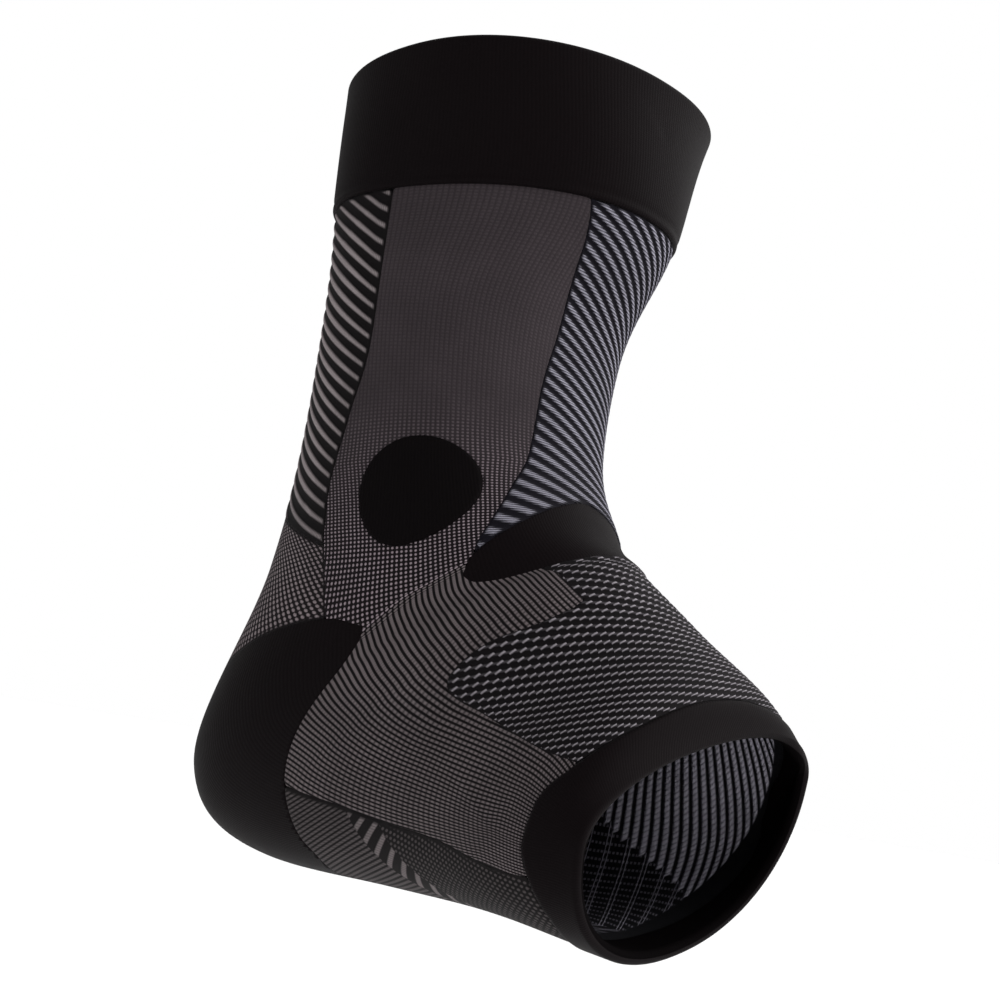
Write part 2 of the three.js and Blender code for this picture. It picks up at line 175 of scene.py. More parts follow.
def skin(along, around):
    """Points of the outer surface in millimetres. around above 0 is the outer side of the foot."""
    _, front_x, front_z, back_x, back_z, half, widest, twist, shift = columns_at(along).T
    axis_x, axis_z = front_x - back_x, front_z - back_z
    depth = np.hypot(axis_x, axis_z)
    axis_x, axis_z = axis_x / depth, axis_z / depth
    cos, sin = np.cos(np.pi * around), -np.sin(np.pi * around)
    size = (np.abs(cos) ** SQUARENESS + np.abs(sin) ** SQUARENESS) ** (-1 / SQUARENESS)
    reach = cos * size * depth * np.where(cos > 0, 1 - widest, widest)
    side = sin * size * half
    ahead = reach * np.cos(twist) + side * np.sin(twist)
    across = side * np.cos(twist) - reach * np.sin(twist) + shift
    return np.stack([back_x + axis_x * (depth * widest + ahead), across,
                     back_z + axis_z * (depth * widest + ahead)], axis=-1)


def skin_frame(along, around):
    """Points, outward normals and the two slopes of the outer surface."""
    step = SLOPE_STEP
    by_along = (skin(along + step, around) - skin(along - step, around)) / (2 * step)
    by_around = (skin(along, around + step) - skin(along, around - step)) / (2 * step)
    outward = np.cross(by_around, by_along)
    outward /= np.linalg.norm(outward, axis=-1, keepdims=True)
    return skin(along, around), outward, by_along, by_around


def fold(around):
    """around as 0 at the front to 1 at the back on either side."""
    return 1 - np.abs(1 - np.mod(around, 2))


# Zone fields: signed distances on the flat layout, negative inside a zone

def smooth_edge(points, samples=8):
    """Points of a smooth curve through the given ones."""
    points = np.array(points, float)
    padded = np.vstack([points[:1], points, points[-1:]])
    out = []
    for i in range(len(points) - 1):
        a, b, c, d = padded[i:i + 4]
        for t in np.arange(samples) / samples:
            out.append(0.5 * (2 * b + (c - a) * t + (2 * a - 5 * b + 4 * c - d) * t ** 2
                              + (3 * b - a - 3 * c + d) * t ** 3))
    out.append(points[-1])
    return [list(p) for p in out]


def hem_place():
    """Where along the sleeve the top cuff ends: at its height on the front centre line."""
    places = np.linspace(0, LEG_SECTIONS[-1][0], 600)
    heights = columns_at(places)[:, 2]
    return float(np.interp(-(LEG_HEIGHT - TOP_CUFF_HEIGHT), -heights, places))


def toe_hem():
    """The toe cuff's edge, as far from the rim as TOE_HEM's shares of its width say."""
    near, far = skin(np.array([1 - TOE_SPAN, 1.0]), np.array([0.5, 0.5]))
    per_millimetre = TOE_SPAN / np.linalg.norm(far - near)
    return smooth_edge([[1 - share * TOE_CUFF_WIDTH * per_millimetre, around]
                        for around, share in TOE_HEM])


def pad_outline():
    """An oval that is wider at its top, turned by the tilt."""
    turn = np.linspace(0, 2 * np.pi, PAD_CORNERS, endpoint=False)
    tilt = math.radians(PAD_TILT)
    tall = PAD_HEIGHT * LAYOUT_RUN / 2 * np.cos(turn)
    wide = -PAD_LENGTH * HALF_GIRTH / 2 * np.sin(turn) * (1 - PAD_TAPER * np.cos(turn))
    run = PAD_CENTRE[0] * LAYOUT_RUN + tall * math.cos(tilt) + wide * math.sin(tilt)
    girth = PAD_CENTRE[1] * HALF_GIRTH - tall * math.sin(tilt) + wide * math.cos(tilt)
    return [[r / LAYOUT_RUN, g / HALF_GIRTH] for r, g in zip(run, girth)]


HEM = hem_place()
# Zones as closed outlines. Places beyond 0 and 1 close them past the rims and the centre lines.
OUTLINES = {
    "top_cuff": [[-0.1, -0.2], [HEM, -0.2], [HEM, 1.2], [-0.1, 1.2]],
    "toe_cuff": toe_hem() + [[1.1, 1.1], [1.1, -0.1]],
    "ankle_pad": pad_outline(),
    "ankle_band": smooth_edge(BAND_UPPER) + smooth_edge(BAND_LOWER),
    "heel_cup": smooth_edge(HEEL_TOP) + smooth_edge(HEEL_FRONT),
    "sole_panel": smooth_edge(SOLE_EDGE) + [[0.99, 1.2], [0.7, 1.2]],
    "front_leg_panel": smooth_edge(FRONT_EDGE_LATERAL) + [[0.54, -0.1], [-0.1, -0.1]],
    "achilles_panel": (smooth_edge(REAR_EDGE[:6]) + smooth_edge(REAR_STRIPE_END)
                       + [[-0.1, 1.1]]),
    "heel_back_panel": smooth_edge(REAR_EDGE) + [[0.6, 1.1], [-0.1, 1.1]],
    "arch_panel": (smooth_edge(ARCH_SEAM) + ARCH_TIP + smooth_edge(ARCH_FRONT)
                   + [[0.99, 0.6], [0.85, 0.72], [0.74, 0.7], [0.65, 0.6]]),
    "instep_panel": [[0.5, -0.1], [0.575, 0.2], [0.63, 0.24], [0.7, 0.46], [1, 0.46], [1, -0.1]],
}
FIELD_ALONG = np.linspace(-0.02, 1.02, 860)
FIELD_AROUND = np.linspace(0, 1, 316)


def signed_distance(outline):
    """Millimetres on the layout from each grid place to an outline, negative inside it."""
    run, girth = np.meshgrid(FIELD_ALONG * LAYOUT_RUN, FIELD_AROUND * HALF_GIRTH, indexing="ij")
    corners = np.array(outline) * [LAYOUT_RUN, HALF_GIRTH]
    nearest = np.full(run.shape, FAR_AWAY)
    inside = np.zeros(run.shape, bool)
    for (x0, y0), (x1, y1) in zip(corners, np.roll(corners, -1, axis=0)):
        dx, dy = x1 - x0, y1 - y0
        if dx == 0 and dy == 0:
            continue
        t = np.clip(((run - x0) * dx + (girth - y0) * dy) / (dx * dx + dy * dy), 0, 1)
        nearest = np.minimum(nearest, np.hypot(run - x0 - t * dx, girth - y0 - t * dy))
        if dy:
            crosses = ((y0 > girth) != (y1 > girth)) & (run < x0 + (girth - y0) * dx / dy)
            inside ^= crosses
    return np.where(inside, -nearest, nearest)


def zone_fields(medial):
    """Zones of one side of the sleeve, each cut from what the ones before it leave."""
    fields = {}
    taken = np.full((len(FIELD_ALONG), len(FIELD_AROUND)), FAR_AWAY)
    for name, outline in OUTLINES.items():
        if medial and name == "front_leg_panel":
            outline = smooth_edge(FRONT_EDGE_MEDIAL) + [[0.54, -0.1], [-0.1, -0.1]]
        shape = signed_distance(outline)
        fields[name] = np.maximum(shape, -taken)
        taken = np.minimum(taken, shape)
    fields["side_panel"] = -taken
    return fields


LATERAL_ZONES, MEDIAL_ZONES = zone_fields(False), zone_fields(True)
ZONES = {name: np.stack([LATERAL_ZONES[name], MEDIAL_ZONES[name]]) for name in LATERAL_ZONES}


def between(table, i, j, *layer):
    """Values of a grid at places between its rows and columns."""
    rows, cols = table.shape[-2:]
    i, j = np.clip(i, 0, rows - 1.001), np.clip(j, 0, cols - 1.001)
    i0, j0 = i.astype(int), j.astype(int)
    s, t = i - i0, j - j0
    return ((1 - s) * (1 - t) * table[(*layer, i0, j0)] + s * (1 - t) * table[(*layer, i0 + 1, j0)]
            + (1 - s) * t * table[(*layer, i0, j0 + 1)] + s * t * table[(*layer, i0 + 1, j0 + 1)])


def sample(field, along, around):
    """A zone field at places of the sleeve."""
    i = (along - FIELD_ALONG[0]) / (FIELD_ALONG[1] - FIELD_ALONG[0])
    j = fold(around) / (FIELD_AROUND[1] - FIELD_AROUND[0])
    medial = (np.mod(around, 2) > 1).astype(int)
    return between(field, i, j, medial)


def distance(field, along, around, by_along, by_around):
    """A field's value as millimetres on the real surface."""
    def slope(to_along, to_around):
        ahead = sample(field, along + to_along, around + to_around)
        behind = sample(field, along - to_along, around - to_around)
        return (ahead - behind) / (2 * FIELD_STEP)

    slope_along, slope_around = slope(FIELD_STEP, 0), slope(0, FIELD_STEP)
    ee = (by_along ** 2).sum(-1)
    gg = (by_around ** 2).sum(-1)
    ff = (by_along * by_around).sum(-1)
    steep = (slope_along ** 2 * gg - 2 * slope_along * slope_around * ff + slope_around ** 2 * ee)
    steep = np.sqrt(np.maximum(steep / np.maximum(ee * gg - ff ** 2, 1e-9), 1e-9))
    return sample(field, along, around) / np.maximum(steep, LEAST_SLOPE)


# Meshes

LAY_LINE = 0.3  # the line around on which the lay layer measures the run


def run_lengths(around):
    """Length along the sleeve, in millimetres, on one line from rim to rim."""
    places = np.linspace(0, 1, 501)
    points = skin(places, np.full(places.shape, around))
    steps = np.linalg.norm(np.diff(points, axis=0), axis=1)
    return places, np.concatenate([[0], np.cumsum(steps)])


GIRTH_ALONG = np.linspace(0, 1, 121)
GIRTH_AROUND = np.linspace(-1, 1, 321)


def girth_table():
    """Real length from the front centre line, in millimetres, by along and around."""
    places = np.meshgrid(GIRTH_ALONG, GIRTH_AROUND, indexing="ij")
    points = skin(places[0].ravel(), places[1].ravel()).reshape(*places[0].shape, 3)
    steps = np.linalg.norm(np.diff(points, axis=1), axis=-1)
    lengths = np.concatenate([np.zeros((len(GIRTH_ALONG), 1)), np.cumsum(steps, axis=1)], axis=1)
    return lengths - lengths[:, len(GIRTH_AROUND) // 2, None]


GIRTHS = girth_table()


def real_girth(along, around):
    """Real length from the front centre line at each place, above 0 on the outer side."""
    i = along * (len(GIRTH_ALONG) - 1)
    j = np.mod(around + 1, 2) / 2 * (len(GIRTH_AROUND) - 1)
    return between(GIRTHS, i, j)


def cut_grid(field):
    """Faces of a grid inside the field's zero line.
    Each vertex is (row, column) or a place between two of them."""
    rows, cols = field.shape
    inside = field < 0
    index = np.full(field.shape, -1)
    index[inside] = np.arange(inside.sum())
    r, c = np.nonzero(inside)
    low = np.stack([r, c], -1)
    spots = [low.astype(float)]
    count = len(r)
    corners = inside[:-1, :-1].astype(int) + inside[:-1, 1:] + inside[1:, 1:] + inside[1:, :-1]
    full_r, full_c = np.nonzero(corners == 4)
    quads = np.stack([index[full_r, full_c], index[full_r, full_c + 1],
                      index[full_r + 1, full_c + 1], index[full_r + 1, full_c]], -1)
    crossing = {}
    extra = []
    polygons = []
    for row, col in zip(*np.nonzero((corners > 0) & (corners < 4))):
        ring = [(row, col), (row, col + 1), (row + 1, col + 1), (row + 1, col)]
        face = []
        for here, there in zip(ring, ring[1:] + ring[:1]):
            if inside[here]:
                face.append(int(index[here]))
            if inside[here] != inside[there]:
                key = (min(here, there), max(here, there))
                if key not in crossing:
                    a, b = key
                    t = field[a] / (field[a] - field[b])
                    extra.append([a[0] + (b[0] - a[0]) * t, a[1] + (b[1] - a[1]) * t])
                    crossing[key] = count + len(extra) - 1
                face.append(crossing[key])
        if len(face) > 2:
            polygons.append(face)
    if extra:
        spots.append(np.array(extra))
    return np.vstack(spots), quads, polygons


def border_edges(quads, polygons):
    """Edges that only one face uses, in that face's direction."""
    edges = np.vstack([quads[:, [i, (i + 1) % 4]] for i in range(4)])
    more = [[f[i], f[(i + 1) % len(f)]] for f in polygons for i in range(len(f))]
    edges = np.vstack([edges, np.array(more).reshape(-1, 2)])
    key = np.sort(edges, axis=1)
    key = key[:, 0] * (edges.max() + 1) + key[:, 1]
    _, first, counts = np.unique(key, return_index=True, return_counts=True)
    return edges[first[counts == 1]]


def to_curve(here, points):
    """Millimetres on the flat layout from each place to a curve."""
    curve = np.array(smooth_edge(points)) * [LAYOUT_RUN, HALF_GIRTH]
    spots = np.stack([here["along"] * LAYOUT_RUN, fold(here["around"]) * HALF_GIRTH], -1)
    nearest = np.full(len(spots), FAR_AWAY)
    for a, b in zip(curve[:-1], curve[1:]):
        t = np.clip(((spots - a) @ (b - a)) / max((b - a) @ (b - a), 1e-9), 0, 1)
        nearest = np.minimum(nearest, np.linalg.norm(spots - a - t[:, None] * (b - a), axis=1))
    return nearest


def rounded_rim(rise, sink, to_rim, thickness):
    """The two faces of a wall, brought together over a round rim."""
    middle = (rise + sink) / 2
    share = np.sqrt(np.clip(1 - (1 - np.clip(to_rim / (thickness / 2), 0, 1)) ** 2, 0, 1))
    return middle + (rise - middle) * share, middle + (sink - middle) * share


def wall_faces(quads, polygons, under, outwards, joined, closing):
    """Outer faces, inner faces, and the walls between them along the zone's border.
    No wall stands where the faces are joined at a rim or where the tube closes on itself."""
    flip = slice(None) if outwards else slice(None, None, -1)
    faces = [q[flip] for q in quads.tolist()] + [f[flip] for f in polygons]
    lower = [[int(under[i]) for i in f[::-1]] for f in faces]
    walls = []
    for i, j in border_edges(quads, polygons).tolist():
        if (joined[i] and joined[j]) or (closing[i] and closing[j]):
            continue
        ring = [j, i, int(under[i]), int(under[j])]
        ring = ring if outwards else ring[::-1]
        walls.append(list(dict.fromkeys(ring)))
    return faces, lower, walls


def add_marks(mesh, here, kept):
    """Adds the UV layers and point attributes that the knit patterns read.
    knit holds the piece's own pattern coordinates, lay the run and the girth in millimetres. The
    girth is signed in the pieces over the front and counts from there on both sides elsewhere."""
    along, around = here["along"], here["around"]
    loops = np.empty(len(mesh.loops), np.int32)
    mesh.loops.foreach_get("vertex_index", loops)
    loops = kept[loops]
    in_front = np.abs(around).max() < 0.99
    girth = -around if in_front else fold(around)
    wrap = real_girth(along, around)
    here["wrap"] = -wrap if in_front else np.abs(wrap)
    here["seam"] = to_curve(here, ARCH_SEAM)
    run = np.interp(along, *run_lengths(LAY_LINE))
    layers = {"knit": (here["u"], here["v"]), "lay": (run, girth * HALF_GIRTH)}
    for label, values in layers.items():
        layer = mesh.uv_layers.new(name=label)
        layer.data.foreach_set("uv", np.stack(values, -1)[loops].astype(np.float32).ravel())
    for label in ("edge", "mark", "groove", "wrap", "seam"):
        values = here.get(label, np.zeros(len(along)))
        attribute = mesh.attributes.new(label, "FLOAT", "POINT")
        attribute.data.foreach_set("value", values[kept].astype(np.float32))


def weld(mesh):
    """Joins the two edges of a tube where it closes on itself."""
    work = bmesh.new()
    work.from_mesh(mesh)
    bmesh.ops.remove_doubles(work, verts=work.verts, dist=1e-6)
    work.to_mesh(mesh)
    work.free()


def flat_relief(here):
    return np.zeros(len(here["u"]))


def make_piece(node, rows, cols, place, thickness, materials, relief=flat_relief, side=None,
               rim=None):
    """The knitted zone that stands for one node of the frame, as a closed wall.
    rows, cols: pattern coordinates of the grid. place: (row, column) values to (along, around).
    relief: millimetres by which the outer face rises. side: 1 for the outer and -1 for the inner
    side of the foot. rim: the end of the sleeve at which the wall is rounded over."""
    zone = node.removesuffix("_lateral").removesuffix("_medial")
    row_grid, col_grid = np.meshgrid(rows, cols, indexing="ij")
    along, around = place(row_grid.ravel(), col_grid.ravel())
    off_end = np.maximum(-along, along - 1) * LAYOUT_RUN
    field = np.maximum(sample(ZONES[zone], np.clip(along, 0, 1), around), off_end)
    if side:
        field = np.maximum(field, -side * around * HALF_GIRTH)
    spots, quads, polygons = cut_grid(field.reshape(row_grid.shape) - 1e-6)
    u = np.interp(spots[:, 0], np.arange(len(rows)), rows)
    v = np.interp(spots[:, 1], np.arange(len(cols)), cols)
    along, around = place(u, v)
    along = np.clip(along, 0, 1)
    points, outward, by_along, by_around = skin_frame(along, around)
    edge = -distance(ZONES[zone], along, around, by_along, by_around)
    here = {"along": along, "around": around, "u": u, "v": v, "edge": np.maximum(edge, 0)}
    count = len(u)
    rise, sink = relief(here), np.full(count, -thickness)
    joined, closing = np.zeros(count, bool), np.zeros(count, bool)
    if rim is not None:
        to_rim = np.abs(along - rim) * np.linalg.norm(by_along, axis=-1)
        rise, sink = rounded_rim(rise, sink, to_rim, thickness)
        joined = to_rim < 1e-4
    if np.abs(around).max() < 1.01:
        closing = np.abs(np.abs(around) - 1) < 1e-9
    top = (points + outward * rise[:, None]) * MM
    bottom = (points + outward * sink[:, None]) * MM
    under = np.where(joined, np.arange(count), count + np.cumsum(~joined) - 1)
    kept = np.concatenate([np.arange(count), np.nonzero(~joined)[0]])
    corner, across, down = (points[quads[0, k]] for k in (0, 1, 3))
    outwards = np.dot(np.cross(across - corner, down - corner), outward[quads[0, 0]]) > 0
    faces, lower, walls = wall_faces(quads, polygons, under, outwards, joined, closing)
    mesh = bpy.data.meshes.new(f"{node}_knit")
    mesh.from_pydata(np.vstack([top, bottom[~joined]]).tolist(), [], faces + lower + walls)
    kinds = np.concatenate([np.zeros(len(faces)), np.ones(len(lower)), np.zeros(len(walls))])
    mesh.polygons.foreach_set("material_index", kinds.astype(np.int32))
    smooth = np.concatenate([np.ones(len(faces) + len(lower), bool), np.zeros(len(walls), bool)])
    mesh.polygons.foreach_set("use_smooth", smooth)
    add_marks(mesh, here, kept)
    for material in materials:
        mesh.materials.append(material)
    if closing.any():
        weld(mesh)
    mesh.validate(clean_customdata=False)
    piece = bpy.data.objects.new(f"{node}_knit", mesh)
    bpy.context.scene.collection.objects.link(piece)
    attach(piece, "root")
    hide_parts(node)
    return piece


# Materials

class Field:
    """Arithmetic on the node sockets of one material."""

    def __init__(self, tree, socket):
        self.tree = tree
        self.socket = socket

    def math(self, operation, *others):
        node = self.tree.nodes.new("ShaderNodeMath")
        node.operation = operation
        for slot_index, value in enumerate((self, *others)):
            if isinstance(value, Field):
                self.tree.links.new(value.socket, node.inputs[slot_index])
            else:
                node.inputs[slot_index].default_value = value
        return Field(self.tree, node.outputs[0])

    def __add__(self, other):
        return self.math("ADD", other)

    def __sub__(self, other):
        return self.math("SUBTRACT", other)

    def __mul__(self, other):
        return self.math("MULTIPLY", other)

    def fract(self):
        return self.math("FRACT")

    def off_centre(self):
        """Distance from the middle of each unit, from 0 to 0.5."""
        return (self.fract() - 0.5).abs()

    def floor(self):
        return self.math("FLOOR")

    def abs(self):
        return self.math("ABSOLUTE")

    def power(self, exponent):
        return self.math("POWER", exponent)

    def most(self, other):
        return self.math("MAXIMUM", other)

    def ramp(self, low, high):
        """0 at low and 1 at high, smooth between."""
        node = self.tree.nodes.new("ShaderNodeMapRange")
        node.interpolation_type = "SMOOTHSTEP"
        node.inputs["From Min"].default_value = low
        node.inputs["From Max"].default_value = high
        self.tree.links.new(self.socket, node.inputs["Value"])
        return Field(self.tree, node.outputs["Result"])


def uv_fields(tree, layer):
    """Both coordinates of a UV layer."""
    node = tree.nodes.new("ShaderNodeUVMap")
    node.uv_map = layer
    split = tree.nodes.new("ShaderNodeSeparateXYZ")
    tree.links.new(node.outputs["UV"], split.inputs[0])
    return Field(tree, split.outputs[0]), Field(tree, split.outputs[1])


def attribute_field(tree, name):
    node = tree.nodes.new("ShaderNodeAttribute")
    node.attribute_name = name
    return Field(tree, node.outputs["Fac"])


def noise_field(tree, scale, detail=2.0):
    where = tree.nodes.new("ShaderNodeTexCoord")
    node = tree.nodes.new("ShaderNodeTexNoise")
    node.inputs["Scale"].default_value = scale
    node.inputs["Detail"].default_value = detail
    tree.links.new(where.outputs["Object"], node.inputs["Vector"])
    return Field(tree, node.outputs["Fac"])


def knit_material(name, pattern, dark, light, relief, roughness=0.85, sheen=0.0, gloss=0.12):
    """A two-yarn knit. pattern(tree) gives the share of light yarn and the height, both 0 to 1.
    relief is the depth of the bump in millimetres."""
    material = bpy.data.materials.new(name)
    material.use_nodes = True
    tree = material.node_tree
    shader = tree.nodes["Principled BSDF"]
    shader.inputs["Roughness"].default_value = roughness
    shader.inputs["Sheen Weight"].default_value = sheen
    shader.inputs["Sheen Roughness"].default_value = 0.4
    shader.inputs["Specular IOR Level"].default_value = gloss
    share, height = pattern(tree)
    patchy = noise_field(tree, PATCH_SCALE).ramp(0.25, 0.75) * 0.2 + 0.85
    fuzz = noise_field(tree, FUZZ_SCALE, 3.0)
    mix = tree.nodes.new("ShaderNodeMix")
    mix.data_type = "RGBA"
    mix.inputs["A"].default_value = (*dark, 1)
    mix.inputs["B"].default_value = (*light, 1)
    tree.links.new((share * patchy * (fuzz * 0.5 + 0.75)).socket, mix.inputs["Factor"])
    tree.links.new(mix.outputs["Result"], shader.inputs["Base Color"])
    bump = tree.nodes.new("ShaderNodeBump")
    bump.inputs["Distance"].default_value = relief * MM
    tree.links.new((height + fuzz * 0.12).socket, bump.inputs["Height"])
    tree.links.new(bump.outputs["Normal"], shader.inputs["Normal"])
    return material


# Knit marks. Pairs hold stitches per millimetre of the run and of the girth.
PATCH_SCALE = 60  # noise cells per metre of faint unevenness in the yarn
FUZZ_SCALE = 2500  # noise cells per metre of the yarn's fuzz
ROPE_STITCHES = (1.6, 0.12)
INNER_PITCH = 2.1  # between the ropes inside, in millimetres
INNER_SLOPE = 0.52  # how much run they gain per millimetre of girth
INNER_TICKS = 0.62  # stitches on a rope per millimetre of girth
INNER_WELT = 196  # the run at which the plain welt inside the toe cuff begins
GRID_BARS = 3.4  # between the grid's bars, in millimetres, and between the dashes in a bar
GRID_DASH = 0.8
GRID_EDGE = 12  # the girth at which the grid begins, and how it grows with the run
GRID_EDGE_SLOPE = 0.4
STRIPE_RUNGS = 1.9  # stitches on a stripe per millimetre of girth
STRIPE_THINNING = 16.0  # the distance from the edge at which a stripe has its full width
OPEN_KNIT = (88, 128)  # the run over which the mesh opens into dots
HEEL_WALES = (1.05, 0.8)
HEEL_COURSES = (1.37, 0.07)
WALE_STITCHES = 250  # stitches on an arch wale in the whole run
WALE_DOTS = (0.66, 0.78)  # the places along between which the arch wales break into dots
SEAM_DOT = 1.35  # between the rows of dots along the arch seam, in millimetres
DASH_COUNTS = (0.47, 0.0026, 0.08)  # dashes per millimetre of girth, its growth, and of run
DASH_RISE = 0.44  # how far a dash climbs from its row, as a share of the row's pitch
SOLE_NICKS = 0.9  # stitches on a row of the sole per millimetre of girth
DOT_ROW = 1.7  # between rows of dots on the sole, in millimetres
DOTS_PER_MM = 1.1
STRIP_HALF_WIDTH = 3.6  # of the bright strip under the foot, in millimetres
STRIP_RIBS = (0.35, 0.03)
SMOOTH_WALE = 0.8  # between wales and between courses of the plain knit, in millimetres
SMOOTH_COURSE = 0.55


def rope_pattern(tree):
    """Ropes of slanted stitches that lie along the courses; the first coordinate counts ropes."""
    across, girth = uv_fields(tree, "knit")
    run, _ = uv_fields(tree, "lay")
    x = across.off_centre()
    strand = (run * ROPE_STITCHES[0] + girth * ROPE_STITCHES[1]).off_centre().ramp(0.46, 0.08)
    body = (x - strand * 0.09).ramp(0.25, 0.04)
    margin = attribute_field(tree, "edge").ramp(0.2, 1.0)
    return body * margin * (strand * 0.62 + 0.38), body * (strand * 0.5 + 0.5)


def inner_pattern(tree):
    """Thick ropes inside, a thin grid under the sole and a plain welt at the toe rim."""
    run, _ = uv_fields(tree, "lay")
    girth = attribute_field(tree, "wrap")
    line = run - girth * INNER_SLOPE
    x = (line * (1 / INNER_PITCH)).fract() - 0.5
    ticks = (girth * INNER_TICKS + x * 1.5).off_centre().ramp(0.5, 0.15)
    body = (x + 0.08).abs().ramp(0.42, 0.14)
    rope = body * (ticks * 0.35 + 0.65)
    string = (line * (0.5 / INNER_PITCH)).off_centre()
    strings = (string - 0.09).abs().ramp(0.04, 0.01)
    bars = ((girth + run * 0.6) * (1 / GRID_BARS)).off_centre().ramp(0.24, 0.08)
    dashes = (line * (1 / GRID_DASH)).off_centre().ramp(0.4, 0.2)
    grid = strings * 0.45 + bars * dashes * 0.22
    under = (girth - run * GRID_EDGE_SLOPE - GRID_EDGE + x * 3).ramp(-0.2, 0.4)
    welt = (run - girth.abs() * 0.1 - INNER_WELT).ramp(0.5, -0.2)
    share = (rope + (grid - rope) * under) * welt
    return share, share * 0.7 + welt * 0.3


def stripe_pattern(tree):
    """Smooth diagonal ribs that thin out towards the side panel."""
    across, girth = uv_fields(tree, "knit")
    edge = attribute_field(tree, "edge")
    wide = edge.ramp(0.0, STRIPE_THINNING) * 0.07 + 0.13
    body = (across.off_centre() - wide).ramp(0.1, -0.1)
    rungs = (girth * STRIPE_RUNGS).off_centre().ramp(0.42, 0.2)
    broken = rungs.most(edge.ramp(2.0, 9.0) * 0.4 + 0.6)
    margin = edge.ramp(0.4, 1.4)
    return body * margin * broken, body * (broken * 0.3 + 0.7)


def seam_dots(x, seam):
    """Bright round stitches in rows along the arch seam."""
    level = (seam * (1 / SEAM_DOT)).off_centre()
    return ((x * x) * 5.5 + (level * level) * 5.5).ramp(1.0, 0.1) * 1.2


def mesh_pattern(tree):
    """Small stitches in columns: near even above, open dots on black below."""
    run, _ = uv_fields(tree, "lay")
    x = attribute_field(tree, "groove").off_centre()
    y = attribute_field(tree, "mark").off_centre()
    open_knit = run.ramp(*OPEN_KNIT)
    dot = ((x * x) * 8 + (y * y) * 6).ramp(0.95, 0.15)
    lines = x.ramp(0.5, 0.15) * (y.ramp(0.5, 0.15) * 0.6 + 0.4)
    even = lines * 0.06 + 0.08
    knit = even + (dot - even) * open_knit
    seam = attribute_field(tree, "seam")
    knit = knit + (seam_dots(x, seam) - knit) * seam.ramp(SEAM_DOT * 1.1, SEAM_DOT * 0.9)
    return knit, dot * (open_knit * 0.6 + 0.4)


def column_pattern(tree):
    """Slanted columns of small dots on the back of the heel."""
    run, girth = uv_fields(tree, "lay")
    x = (run * HEEL_WALES[0] + girth * HEEL_WALES[1]).off_centre()
    y = (run * HEEL_COURSES[0] + girth * HEEL_COURSES[1]).off_centre()
    dot = ((x * x) * 7.5 + (y * y) * 4.0).ramp(1.05, 0.15)
    return dot * attribute_field(tree, "edge").ramp(0.3, 1.0), dot


def rib_pattern(tree):
    """Light wales with thin black grooves, that break into dots towards the sole."""
    across, along = uv_fields(tree, "knit")
    x = across.off_centre()
    strand = (along * WALE_STITCHES - across * 0.35).off_centre().ramp(0.5, 0.12)
    dotted = along.ramp(*WALE_DOTS) * 0.55 + 0.15
    body = x.ramp(0.36, 0.17)
    wale = body * (strand * dotted + (dotted * -1 + 1))
    seam = attribute_field(tree, "seam")
    near = seam.ramp(SEAM_DOT * 2.1, SEAM_DOT * 1.9)
    return wale + (seam_dots(x, seam) * 1.4 - wale) * near, body * (strand * 0.5 + 0.5)


def dash_pattern(tree):
    """Rows of short slanted dashes, thicker and brighter at the raised end."""
    across, girth = uv_fields(tree, "knit")
    run, _ = uv_fields(tree, "lay")
    per_girth, growth, per_run = DASH_COUNTS
    s = (girth * (girth.abs() * growth + per_girth) - run * per_run).fract() - 0.5
    x = (across.fract() - 0.5 - s * DASH_RISE).abs()
    body = (x - (s * -0.05 + 0.1)).ramp(0.06, -0.07)
    row = across.off_centre().ramp(0.2, 0.05) * 0.1
    share = body * s.abs().ramp(0.5, 0.43) * (s * -0.45 + 0.7)
    return share.most(row) * attribute_field(tree, "edge").ramp(0.1, 0.5), share


def sole_pattern(tree):
    """Fine rows near the heel, a diagonal strip of bold ribs, and dotted rows beyond it."""
    across, girth = uv_fields(tree, "knit")
    run, level = uv_fields(tree, "lay")
    strip = attribute_field(tree, "mark")
    nicks = (girth * SOLE_NICKS + across.floor() * 0.5).off_centre().ramp(0.45, 0.2)
    rows = across.off_centre().ramp(0.4, 0.14) * (nicks * 0.4 + 0.6)
    rib = (run * STRIP_RIBS[0] + level * STRIP_RIBS[1]).off_centre()
    rungs = (level * DOTS_PER_MM).off_centre().ramp(0.5, 0.2) * 0.35 + 0.65
    ribs = rib.ramp(0.24, 0.12) * rungs * (strip.abs() - STRIP_HALF_WIDTH).ramp(0.2, -0.5)
    dot_row = level * (1 / DOT_ROW)
    dot_x = (run * DOTS_PER_MM + (dot_row.floor() * 0.5).fract()).off_centre()
    dot_y = dot_row.off_centre()
    dots = ((dot_x * dot_x) * 7 + (dot_y * dot_y) * 7).ramp(1.0, 0.2) * 0.3
    beyond = strip.ramp(STRIP_HALF_WIDTH - 0.1, STRIP_HALF_WIDTH + 0.1)
    before = strip.ramp(0.1 - STRIP_HALF_WIDTH, -0.1 - STRIP_HALF_WIDTH)
    groove = attribute_field(tree, "groove").ramp(0.6, 1.8)
    share = (rows * before * 0.42 + ribs * 0.85 + dots * beyond) * groove
    return share, share


def smooth_pattern(tree):
    """A dense plain knit."""
    run, girth = uv_fields(tree, "lay")
    wale = (girth * (1 / SMOOTH_WALE)).off_centre() * 2
    course = (run * (1 / SMOOTH_COURSE) + wale * 0.5).off_centre() * 2
    loop = wale.ramp(0.0, 0.8) * (course * 0.5 + 0.5)
    return loop * 0.35 + 0.3, loop


